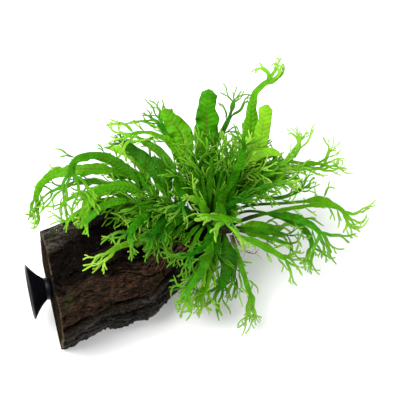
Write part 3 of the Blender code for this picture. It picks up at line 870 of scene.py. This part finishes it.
# millimetres from the cut face, near side, far side, underside before it is flattened, top
WOOD_SECTIONS = (
    (0, -34, 38, -9, 61), (8, -33, 39, -10, 63), (17, -30, 41, -10, 64), (26, -28.5, 43, -10, 66),
    (35, -28, 45, -10, 65), (44, -29, 46, -9, 66), (53, -29, 46, -7, 64), (59, -28, 45, -6, 63),
    (66, -24, 43, -4, 62), (75, -18, 40, -2, 60), (84, -12, 35, 2, 58), (93, -10, 30, 6, 55),
    (102, -9, 24, 11, 51), (110, -3, 16, 20, 44),
)
WOOD_RINGS = 240
WOOD_ARCS = (0, 206, 260), (206, 360, 56)  # from and to in degrees, and points: more on top
UNDERSIDE_RELIEF = 0.35  # share of the relief that the underside has
SHARP_ANGLE = 50
WOOD_MARKS = ("hollow", "red", "grey", "slab", "sawn_edge")

END_LOOPS = 14
SAWN_ROUGHNESS = (0.25, 0.35)  # millimetres deep everywhere, and more where it is rough
BROKEN_ROUGHNESS = (0.5, 1.4)
END_RED, END_GREY = 0.2, 0.3


def stepped(value):
    """Turns a smooth value into terraces with short slopes between them."""
    level = floor(value)
    return level + ease((value - level - 0.35) / 0.3)


def wood_relief(along, angle):
    """Millimetres that the side stands proud, by distance from the cut and angle round it."""
    shelf = 70 - 0.39 * along
    hollow_end = 104 - 0.10 * along
    crest = 128 - 0.10 * along
    crack = 156 - 0.15 * along
    seam = 178 - 0.10 * along
    relief = 1.2 * (1 - ease((angle - shelf) / 5))
    hollow = 4.6 - 0.6 * ease((along - 45) / 15)
    hollow_sides = ease((angle - shelf) / 7) * (1 - ease((angle - hollow_end) / 16))
    relief -= hollow * hollow_sides
    relief += 2.0 * bell(angle - crest, 13)
    relief -= max(3.0 + 5.0 * noise_at(along * 0.06, 3, 5), 0.5) * bell(angle - crack, 4.5)
    relief -= 2.0 * bell(angle - seam, 6)
    relief += 1.1 * sin(radians(7 * angle + 4 * along))
    # broken chips along the lower edge
    chips = 3.0 * noise_at(along * 0.1, 1.7, 8.1) + 0.8 * noise_at(along * 0.4, 0, 2)
    edge = ease((angle - 160) / 14) * (1 - ease((angle - 240) / 30))
    relief -= 0.8 * max(stepped(chips) + 0.2, 0) * edge
    return relief * (1 - 0.5 * ease((along - 101) / 9))


def wood_section(along):
    """Near side, far side, underside and top at a distance from the cut."""
    for low, high in zip(WOOD_SECTIONS, WOOD_SECTIONS[1:]):
        if along <= high[0]:
            break
    share = (along - low[0]) / (high[0] - low[0])
    return [mix(a, b, share) for a, b in zip(low[1:], high[1:])]


def wood_detail(along, y, z):
    """Millimetres of chipped plates, fibres, lumps and long cracks, which nearly always go in."""
    warp = 1.5 * noise_at(along * 0.06, y * 0.05, z * 0.05)
    spot = Vector((along * 0.028, y * 0.20 + warp, z * 0.20))
    plates = stepped(2.2 * noise.fractal(spot, 0.9, 2.1, 3))
    fibre = noise.fractal(Vector((along * 0.06, y * 0.75 + warp, z * 0.75)), 0.8, 2.1, 4)
    lumps = noise.fractal(Vector((along * 0.16, y * 0.2, z * 0.2)), 0.9, 2.0, 3)
    crack_line = abs(noise_at(along * 0.016 + 7, y * 0.13 + 0.6 * warp, z * 0.13))
    cracked = ease((noise.noise(spot * 0.4) + 0.3) / 0.3)
    crack = (1 - ease(crack_line / 0.03)) * cracked
    knobs = noise.fractal(Vector((along * 0.45, y * 0.5, z * 0.5)), 0.7, 2.1, 3)
    detail = 1.0 * plates + 0.8 * fibre + 0.7 * lumps + 0.5 * knobs - 2.6 * crack
    return min(detail - 0.5, 0.35)


def squared(value):
    """A sine or cosine made into that of a rounded square."""
    return copysign(abs(value) ** (2 / WOOD_SQUARENESS), value)


def wood_point(along, angle):
    """A point on the side in millimetres, and how far it lies in a hollow. Angle 90 faces up."""
    near, far, low, top = wood_section(along)
    across, upward = squared(cos(radians(angle))), squared(sin(radians(angle)))
    share = UNDERSIDE_RELIEF if 205 < angle < 360 else 1.0
    relief = wood_relief(along, angle % 360) * share
    y = (near + far) / 2 + ((far - near) / 2 + relief) * across
    z = (low + top) / 2 + ((top - low) / 2 + relief) * upward
    detail = wood_detail(along, y, z)
    # how deep the point lies in a hollow, which the material darkens as painted shade
    hollow = ease(-(relief + 1.6 * detail + 1.0) / 4.0)
    y += detail * across
    z += detail * upward
    z = max(z, 0.0)
    lean = CUT_LEAN * (z - CUP_CENTRE[1]) * max(0, 1 - along / CUT_LEAN_LENGTH)
    return Vector((WOOD_START + along + lean, y, z)), hollow


def build_wood_side(points, faces, marks):
    angles = [mix(start, end, i / count) for start, end, count in WOOD_ARCS for i in range(count)]
    spokes = len(angles)
    for ring in range(WOOD_RINGS + 1):
        along = WOOD_SECTIONS[-1][0] * ring / WOOD_RINGS
        for angle in angles:
            point, hollow = wood_point(along, angle)
            points.append(point * MM)
            ridge = bell(angle - 136 + 0.27 * along, 34)
            # the upper shoulder, painted lighter grey: partly worn wood, partly painted sheen
            shoulder = 1 - ease((angle - 72 + 0.37 * along) / 6)
            slab_end = 1 - ease((angle - 215) / 20)
            slab = ease((angle - 158 + 0.2 * along) / 6) * slab_end
            marks.append((hollow, ridge, shoulder, slab, 1.0 - ease(along / 1.2)))
    for ring in range(WOOD_RINGS):
        for spoke in range(spokes):
            a, b = ring * spokes + spoke, ring * spokes + (spoke + 1) % spokes
            faces.append((a, b, b + spokes, a + spokes))
    return spokes


def build_wood_end(points, faces, marks, rim, inward, sawn):
    """Closes one end with loops that shrink from the rim towards its middle."""
    centre = sum((points[i] for i in rim), Vector()) / len(rim)
    base, more = SAWN_ROUGHNESS if sawn else BROKEN_ROUGHNESS
    outer = rim
    for loop in range(1, END_LOOPS + 1):
        shrink = 1 - loop / (END_LOOPS + 0.5)
        edge = 0.3 * (1 - ease(loop / 2)) if sawn else 0.0
        inner = list(range(len(points), len(points) + len(rim)))
        for index in rim:
            point = centre.lerp(points[index], shrink)
            rough = noise.fractal(point * 260, 0.8, 2.0, 4)
            depth = max((base + more * rough) * MM, 0.0)
            points.append(point + Vector((inward * depth, 0, 0)))
            # the first mark paints shade in the end's rough pits
            marks.append((ease(rough - 0.1) * 0.6, END_RED, END_GREY, 0.0, edge))
        for i in range(len(rim)):
            j = (i + 1) % len(rim)
            quad = (outer[j], outer[i], inner[i], inner[j])
            faces.append(quad if sawn else quad[::-1])
        outer = inner
    faces.append(tuple(outer[::-1] if sawn else outer))


def build_driftwood():
    points, faces, marks = [], [], []
    spokes = build_wood_side(points, faces, marks)
    first_sawn = len(faces)
    build_wood_end(points, faces, marks, list(range(spokes)), 1, sawn=True)
    past_sawn = len(faces)
    far_rim = [WOOD_RINGS * spokes + spoke for spoke in range(spokes)]
    build_wood_end(points, faces, marks, far_rim, -1, sawn=False)
    wood = new_object("driftwood_log", points, faces, WOOD_LOOK)
    wood.data.materials.append(SAWN_LOOK)
    for number in range(first_sawn, past_sawn):
        wood.data.polygons[number].material_index = 1
    add_marks(wood, WOOD_MARKS, marks)
    wood.data.set_sharp_from_angle(angle=radians(SHARP_ANGLE))
    dress(wood, "driftwood", "driftwood")


# ---- suction cup

CUP_STEPS = 128
# radius and distance from the wood, from the middle of the hollow round to the knob's foot
CUP_PROFILE = (
    (0.0, 8.2), (2.5, 8.25), (5.0, 8.5), (7.5, 9.2), (10.0, 10.2), (12.2, 11.4), (14.0, 12.6),
    (15.4, 13.65), (16.1, 13.95), (16.9, 14.0), (17.35, 13.85), (17.5, 13.5), (17.3, 13.0),
    (16.0, 12.2), (13.2, 10.3), (11.6, 9.0), (10.4, 8.0), (9.4, 7.0), (8.6, 6.1), (7.9, 5.3),
    (7.4, 4.7), (7.1, 4.3), (6.8, 4.0), (6.9, 3.7), (7.1, 3.4), (7.1, 1.8), (7.0, 1.1), (6.6, 0.5),
    (0.0, 0.5),
)


def build_suction_cup():
    points = [Vector((radius * MM, 0, height * MM)) for radius, height in CUP_PROFILE]
    edges = [(i, i + 1) for i in range(len(points) - 1)]
    cup = new_object("suction_cup_rubber", points, [], RUBBER_LOOK, edges)
    turn = cup.modifiers.new("Turn", "SCREW")
    turn.axis = "Z"
    turn.steps = turn.render_steps = CUP_STEPS
    turn.use_merge_vertices = True
    turn.merge_threshold = 0.01 * MM
    turn.use_smooth_shade = True
    cup.location = (WOOD_START * MM, CUP_CENTRE[0] * MM, CUP_CENTRE[1] * MM)
    cup.rotation_euler = (0, atan(CUT_LEAN) - radians(90), 0)
    dress(cup, "black_rubber", "suction_cup")


# ---- stems and roots


class Tube(NamedTuple):
    """How a stem, a root or a hair is swept. Lengths are in millimetres."""

    spokes: int
    steps: int  # between two points of its route
    radii: tuple = ()  # at the start and at the end
    lumps: float = 0
    rounding: int = 0  # points over which the ends round off


STEM = Tube(20, 10, lumps=0.16, rounding=5)
ROOT = Tube(8, 8, (0.6, 0.22), 0.2)
HAIR = Tube(4, 1, (0.16, 0.06))
HAIRS = 14  # on each root
HAIR_POINTS, HAIR_BEND, HAIR_STEPS = 8, 0.45, (0.6, 1.0)
OLD_ROOT = Tube(6, 3, (0.42, 0.14), 0.2)
OLD_ROOTS, OLD_ROOT_POINTS = 34, 9
OLD_ROOT_STARTS = (66, 92), (96, 110)  # millimetres from the cut, and degrees round the wood
OLD_ROOT_DRIFTS, OLD_ROOT_TURNS = (-2.2, 0.8), (0.6, 2.2)  # at each point
OLD_ROOT_LIFTS = (0.5, 1.4)


def smooth_path(points, steps):
    """Points on one smooth curve through the given ones, in millimetres."""
    points = [Vector(point) for point in points]
    points = [2 * points[0] - points[1], *points, 2 * points[-1] - points[-2]]
    path = []
    for a, b, c, d in zip(points, points[1:], points[2:], points[3:]):
        for step in range(steps):
            t = step / steps
            square = (2 * a - 5 * b + 4 * c - d) * t * t
            cube = (3 * b - a - 3 * c + d) * t**3
            path.append(0.5 * (2 * b + (c - a) * t + square + cube))
    path.append(points[-2])
    return path


def sweep(tube, route, points, faces, seed=0):
    """Adds a tube to the lists of points and faces, which are in metres. Gives its path."""
    path = smooth_path(route, tube.steps)
    first, end = len(points), len(path) - 1
    for number, place in enumerate(path):
        radius = mix(*tube.radii, number / end)
        if tube.rounding:
            share = min(min(number, end - number) / tube.rounding, 1)
            radius *= sqrt(max(0.05, 1 - (1 - share) ** 2))
        ahead = (path[min(number + 1, end)] - path[max(number - 1, 0)]).normalized()
        side = ahead.cross(Vector((0, 0, 1)))
        if side.length < 0.2:
            side = ahead.cross(Vector((0, 1, 0)))
        side.normalize()
        over = side.cross(ahead)
        for spoke in range(tube.spokes):
            angle = 2 * pi * spoke / tube.spokes
            outward = side * cos(angle) + over * sin(angle)
            lump = noise.noise((place + outward * radius) * 0.9 + Vector((seed, 0, 0)))
            points.append((place + outward * radius * (1 + tube.lumps * lump)) * MM)
    for number in range(end):
        for spoke in range(tube.spokes):
            a = first + number * tube.spokes + spoke
            b = first + number * tube.spokes + (spoke + 1) % tube.spokes
            faces.append((a, a + tube.spokes, b + tube.spokes, b))
    start_ring = range(first, first + tube.spokes)
    end_ring = range(len(points) - tube.spokes, len(points))
    faces += [tuple(start_ring), tuple(reversed(end_ring))]
    return path


def build_stems():
    for name, (radius, route) in STEMS.items():
        points, faces = [], []
        sweep(STEM._replace(radii=(radius, radius)), route, points, faces, len(name))
        stem = new_object(f"stem_{name}_skin", points, faces, STEM_LOOK)
        dress(stem, "stem", f"stem_{name}")


def hair_path(place, rng):
    """The path of a hair that wanders away from a point on a root, mostly downwards."""
    heading = Vector((rng.uniform(-1, 1), rng.uniform(-1, 1), rng.uniform(-1, 0.2))).normalized()
    path = [place]
    for _ in range(HAIR_POINTS):
        bend = Vector([rng.uniform(-HAIR_BEND, HAIR_BEND) for _ in range(3)])
        heading = (heading + bend).normalized()
        path.append(path[-1] + heading * rng.uniform(*HAIR_STEPS))
    return path


def build_roots():
    for name, route in ROOTS.items():
        points, faces = [], []
        path = sweep(ROOT, route, points, faces)
        rng = random.Random(name)
        for _ in range(HAIRS):
            start = path[rng.randrange(4, len(path) - 2)]
            sweep(HAIR, hair_path(start, rng), points, faces)
        root = new_object(f"{name}_fine", points, faces, ROOT_LOOK)
        dress(root, "root", name)


def build_old_roots():
    """A mat of dead roots that cling to the wood below the main stem."""
    rng = random.Random("old_roots")
    points, faces = [], []
    for _ in range(OLD_ROOTS):
        along, angle = (rng.uniform(*limits) for limits in OLD_ROOT_STARTS)
        drift, turn = rng.uniform(*OLD_ROOT_DRIFTS), rng.uniform(*OLD_ROOT_TURNS)
        route = []
        for _ in range(OLD_ROOT_POINTS):
            place, _ = wood_point(along, angle)
            theta = radians(angle)
            outward = Vector((0, cos(theta), sin(theta)))
            route.append(place + outward * rng.uniform(*OLD_ROOT_LIFTS))
            along += drift + rng.uniform(-0.9, 0.9)
            angle += turn + rng.uniform(-0.8, 0.8)
        sweep(OLD_ROOT, route, points, faces)
    dress(new_object("old_roots", points, faces, OLD_ROOT_LOOK), "root")


# ---- floor, light and camera

CAMERA_AZIMUTH = -15
CAMERA_ELEVATION = 68
CAMERA_DISTANCE = 0.614
CAMERA_TARGET = Vector((48.0, 33.8, 40.0)) * MM
CAMERA_LENS = 85
FLOOR_HALF_SIZE = 4.0
FLOOR_WHITE = (0.93, 0.93, 0.93)
SKY_STRENGTH = 0.45
LIGHT_AIM = (0.04, 0.03, 0.04)
# place, size in metres and power in watts
LIGHTS = {"key": ((-0.35, 0.25, 0.85), 0.85, 15.6), "fill": ((0.6, -0.5, 0.7), 0.6, 5.0)}


def build_floor():
    look = Look("pale_floor")
    material = look.finish(look.skin(FLOOR_WHITE, 0.85))
    square = ((-1, -1), (1, -1), (1, 1), (-1, 1))
    corners = [Vector((x * FLOOR_HALF_SIZE, y * FLOOR_HALF_SIZE, 0)) for x, y in square]
    floor = new_object("floor", corners, [(0, 1, 2, 3)], material)


def add_light(name, place, size, power):
    light = bpy.data.lights.new(name, "AREA")
    light.shape = "DISK"
    light.size = size
    light.energy = power
    lamp = link_object(name, light)
    lamp.location = place
    lamp.rotation_euler = (Vector(LIGHT_AIM) - Vector(place)).to_track_quat("-Z", "Y").to_euler()


def build_studio():
    world = bpy.data.worlds.new("studio")
    world.use_nodes = True
    sky = world.node_tree.nodes["Background"].inputs
    sky["Color"].default_value = (1, 1, 1, 1)
    sky["Strength"].default_value = SKY_STRENGTH
    scene = bpy.context.scene
    scene.world = world
    scene.view_settings.view_transform = "Standard"
    for name, settings in LIGHTS.items():
        add_light(name, *settings)


def build_camera():
    azimuth, elevation = radians(CAMERA_AZIMUTH), radians(CAMERA_ELEVATION)
    level = Vector((-sin(azimuth), cos(azimuth), 0))
    forward = level * cos(elevation) - Vector((0, 0, sin(elevation)))
    camera = link_object("camera", bpy.data.cameras.new("camera"))
    camera.data.lens = CAMERA_LENS
    camera.location = CAMERA_TARGET - forward * CAMERA_DISTANCE
    camera.rotation_euler = forward.to_track_quat("-Z", "Y").to_euler()
    bpy.context.scene.camera = camera


# ---- the whole scene


def main():
    build_driftwood()
    build_suction_cup()
    build_stems()
    build_roots()
    build_old_roots()
    for frond in FRONDS:
        build_frond(frond)
    for tuft in TUFTS:
        build_tuft(tuft)
    build_floor()
    build_studio()
    build_camera()


main()
